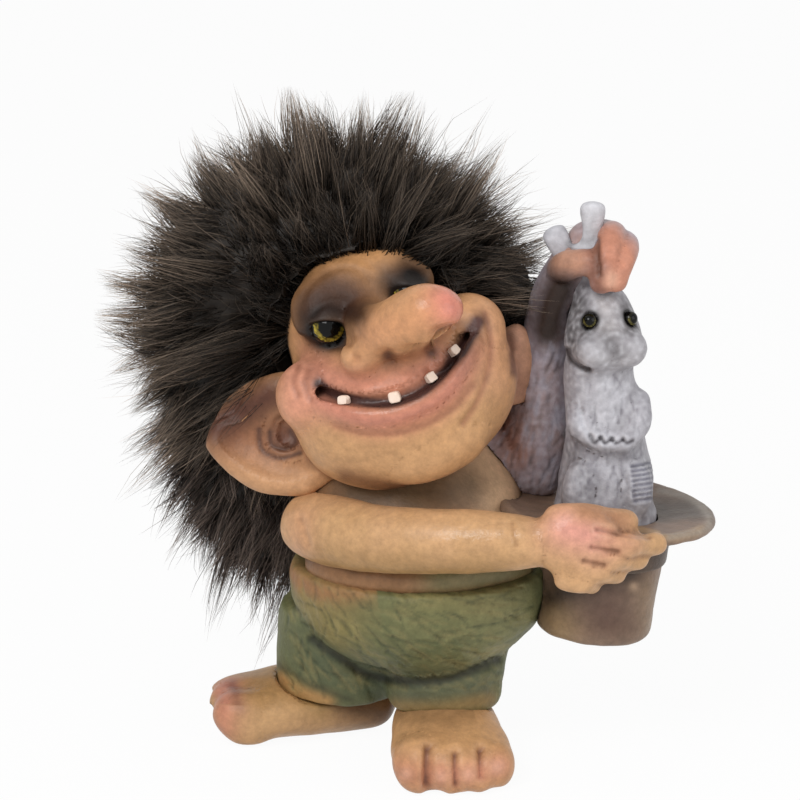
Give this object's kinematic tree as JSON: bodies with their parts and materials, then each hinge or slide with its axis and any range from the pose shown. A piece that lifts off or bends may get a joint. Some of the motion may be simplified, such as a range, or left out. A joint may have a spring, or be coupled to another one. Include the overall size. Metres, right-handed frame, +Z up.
{
  "type": "norwegian troll figure",
  "caption": "Grinning bare-chested folk troll with wild dark fur, in green trousers, holding a rabbit by the ears over an upturned top hat.",
  "frame": {"origin": "on the surface it stands on, under the middle of its outline", "axes": "+Z up, -Y the way the belly faces, +X towards the hand with the rabbit"},
  "size_m": [0.1606, 0.1166, 0.173],
  "materials": {
    "skin": "satin",
    "trouser_rubber": "matte",
    "tooth_white": "gloss",
    "eye_glass": "polished",
    "hat_rubber": "satin",
    "rabbit_rubber": "satin",
    "bead": "gloss",
    "fur": "matte"
  },
  "bodies": {
    "root": {"torso": "skin", "head": "skin", "right_ear": "skin", "left_ear": "skin", "right_arm": "skin", "left_arm": "skin", "right_foot": "skin", "left_foot": "skin", "trousers": "trouser_rubber", "tooth_1": "tooth_white", "tooth_2": "tooth_white", "tooth_3": "tooth_white", "tooth_4": "tooth_white", "right_eye": "eye_glass", "left_eye": "eye_glass", "hat": "hat_rubber", "hat_band": "hat_rubber", "rabbit": "rabbit_rubber", "rabbit_right_eye": "bead", "rabbit_left_eye": "bead", "wig": "fur", "mane": "fur"}
  },
  "joints": []
}
